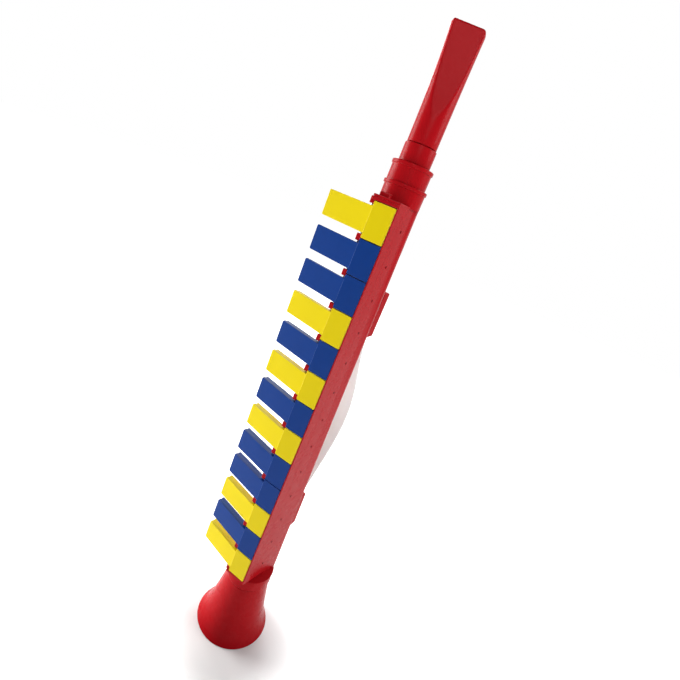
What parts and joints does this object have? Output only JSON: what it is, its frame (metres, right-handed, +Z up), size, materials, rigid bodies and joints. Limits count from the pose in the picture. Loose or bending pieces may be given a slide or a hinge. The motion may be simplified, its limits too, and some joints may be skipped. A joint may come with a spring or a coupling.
{
  "type": "toy piano horn",
  "caption": "Toy wind instrument: straight red body with a row of rocking yellow and blue keys, flared bell, flattened mouthpiece and a bowed hand strap on the back.",
  "frame": {"origin": "on the floor under the middle of the whole horn's box; the bell's rim lies in z = 0", "axes": "+Z up along the body from the bell to the mouthpiece, -Y the way the key pads face, -X the way the key tongues reach, +Y the strap's side"},
  "size_m": [0.0674, 0.0782, 0.4308],
  "materials": {
    "red_plastic": "glossy moulded",
    "yellow_plastic": "glossy moulded",
    "blue_plastic": "glossy moulded",
    "ivory_plastic": "soft satin",
    "seal_felt": "felt",
    "gasket_rubber": "matte sheet",
    "spring_steel": "drawn wire",
    "reed_brass": "rolled sheet"
  },
  "bodies": {
    "horn": {"bell": "red_plastic", "back_shell": "red_plastic", "key_channel": "red_plastic", "mouth_socket": "red_plastic", "ferrule": "red_plastic", "hand_strap": "ivory_plastic", "upper_lug": "red_plastic", "lower_lug": "red_plastic", "hinge_rod": "spring_steel", "reed_gasket": "gasket_rubber", "reed_plate": "reed_brass", "key_spring_01": "spring_steel", "key_spring_02": "spring_steel", "key_spring_03": "spring_steel", "key_spring_04": "spring_steel", "key_spring_05": "spring_steel", "key_spring_06": "spring_steel", "key_spring_07": "spring_steel", "key_spring_08": "spring_steel", "key_spring_09": "spring_steel", "key_spring_10": "spring_steel", "key_spring_11": "spring_steel", "key_spring_12": "spring_steel", "key_spring_13": "spring_steel"},
    "key_01": {"key_01": "yellow_plastic", "seal_pad_01": "seal_felt"},
    "key_02": {"key_02": "blue_plastic", "seal_pad_02": "seal_felt"},
    "key_03": {"key_03": "blue_plastic", "seal_pad_03": "seal_felt"},
    "key_04": {"key_04": "yellow_plastic", "seal_pad_04": "seal_felt"},
    "key_05": {"key_05": "blue_plastic", "seal_pad_05": "seal_felt"},
    "key_06": {"key_06": "yellow_plastic", "seal_pad_06": "seal_felt"},
    "key_07": {"key_07": "blue_plastic", "seal_pad_07": "seal_felt"},
    "key_08": {"key_08": "yellow_plastic", "seal_pad_08": "seal_felt"},
    "key_09": {"key_09": "blue_plastic", "seal_pad_09": "seal_felt"},
    "key_10": {"key_10": "blue_plastic", "seal_pad_10": "seal_felt"},
    "key_11": {"key_11": "yellow_plastic", "seal_pad_11": "seal_felt"},
    "key_12": {"key_12": "blue_plastic", "seal_pad_12": "seal_felt"},
    "key_13": {"key_13": "yellow_plastic", "seal_pad_13": "seal_felt"},
    "mouthpiece": {"mouthpiece": "red_plastic"}
  },
  "joints": [
    {"name": "key_01_rock", "type": "hinge", "parent": "horn", "child": "key_01", "pos_m": [-0.00425, -0.02895, 0.3247], "axis": [0, 0, -1], "range_deg": [0, 8], "stiffness_Nm_per_rad": 0.06, "springref_deg": -8.59, "deforming": ["key_spring_01"]},
    {"name": "key_02_rock", "type": "hinge", "parent": "horn", "child": "key_02", "pos_m": [-0.00425, -0.02895, 0.3035], "axis": [0, 0, -1], "range_deg": [0, 8], "stiffness_Nm_per_rad": 0.06, "springref_deg": -8.59, "deforming": ["key_spring_02"]},
    {"name": "key_03_rock", "type": "hinge", "parent": "horn", "child": "key_03", "pos_m": [-0.00425, -0.02895, 0.2823], "axis": [0, 0, -1], "range_deg": [0, 8], "stiffness_Nm_per_rad": 0.06, "springref_deg": -8.59, "deforming": ["key_spring_03"]},
    {"name": "key_04_rock", "type": "hinge", "parent": "horn", "child": "key_04", "pos_m": [-0.00425, -0.02895, 0.2611], "axis": [0, 0, -1], "range_deg": [0, 8], "stiffness_Nm_per_rad": 0.06, "springref_deg": -8.59, "deforming": ["key_spring_04"]},
    {"name": "key_05_rock", "type": "hinge", "parent": "horn", "child": "key_05", "pos_m": [-0.00425, -0.02895, 0.2399], "axis": [0, 0, -1], "range_deg": [0, 8], "stiffness_Nm_per_rad": 0.06, "springref_deg": -8.59, "deforming": ["key_spring_05"]},
    {"name": "key_06_rock", "type": "hinge", "parent": "horn", "child": "key_06", "pos_m": [-0.00425, -0.02895, 0.2187], "axis": [0, 0, -1], "range_deg": [0, 8], "stiffness_Nm_per_rad": 0.06, "springref_deg": -8.59, "deforming": ["key_spring_06"]},
    {"name": "key_07_rock", "type": "hinge", "parent": "horn", "child": "key_07", "pos_m": [-0.00425, -0.02895, 0.1975], "axis": [0, 0, -1], "range_deg": [0, 8], "stiffness_Nm_per_rad": 0.06, "springref_deg": -8.59, "deforming": ["key_spring_07"]},
    {"name": "key_08_rock", "type": "hinge", "parent": "horn", "child": "key_08", "pos_m": [-0.00425, -0.02895, 0.1763], "axis": [0, 0, -1], "range_deg": [0, 8], "stiffness_Nm_per_rad": 0.06, "springref_deg": -8.59, "deforming": ["key_spring_08"]},
    {"name": "key_09_rock", "type": "hinge", "parent": "horn", "child": "key_09", "pos_m": [-0.00425, -0.02895, 0.1551], "axis": [0, 0, -1], "range_deg": [0, 8], "stiffness_Nm_per_rad": 0.06, "springref_deg": -8.59, "deforming": ["key_spring_09"]},
    {"name": "key_10_rock", "type": "hinge", "parent": "horn", "child": "key_10", "pos_m": [-0.00425, -0.02895, 0.1339], "axis": [0, 0, -1], "range_deg": [0, 8], "stiffness_Nm_per_rad": 0.06, "springref_deg": -8.59, "deforming": ["key_spring_10"]},
    {"name": "key_11_rock", "type": "hinge", "parent": "horn", "child": "key_11", "pos_m": [-0.00425, -0.02895, 0.1127], "axis": [0, 0, -1], "range_deg": [0, 8], "stiffness_Nm_per_rad": 0.06, "springref_deg": -8.59, "deforming": ["key_spring_11"]},
    {"name": "key_12_rock", "type": "hinge", "parent": "horn", "child": "key_12", "pos_m": [-0.00425, -0.02895, 0.0915], "axis": [0, 0, -1], "range_deg": [0, 8], "stiffness_Nm_per_rad": 0.06, "springref_deg": -8.59, "deforming": ["key_spring_12"]},
    {"name": "key_13_rock", "type": "hinge", "parent": "horn", "child": "key_13", "pos_m": [-0.00425, -0.02895, 0.0703], "axis": [0, 0, -1], "range_deg": [0, 8], "stiffness_Nm_per_rad": 0.06, "springref_deg": -8.59, "deforming": ["key_spring_13"]},
    {"name": "mouthpiece_turn", "type": "hinge", "parent": "horn", "child": "mouthpiece", "pos_m": [0.0027, -0.01115, 0.3706], "axis": [0, 0, 1], "continuous": true}
  ]
}
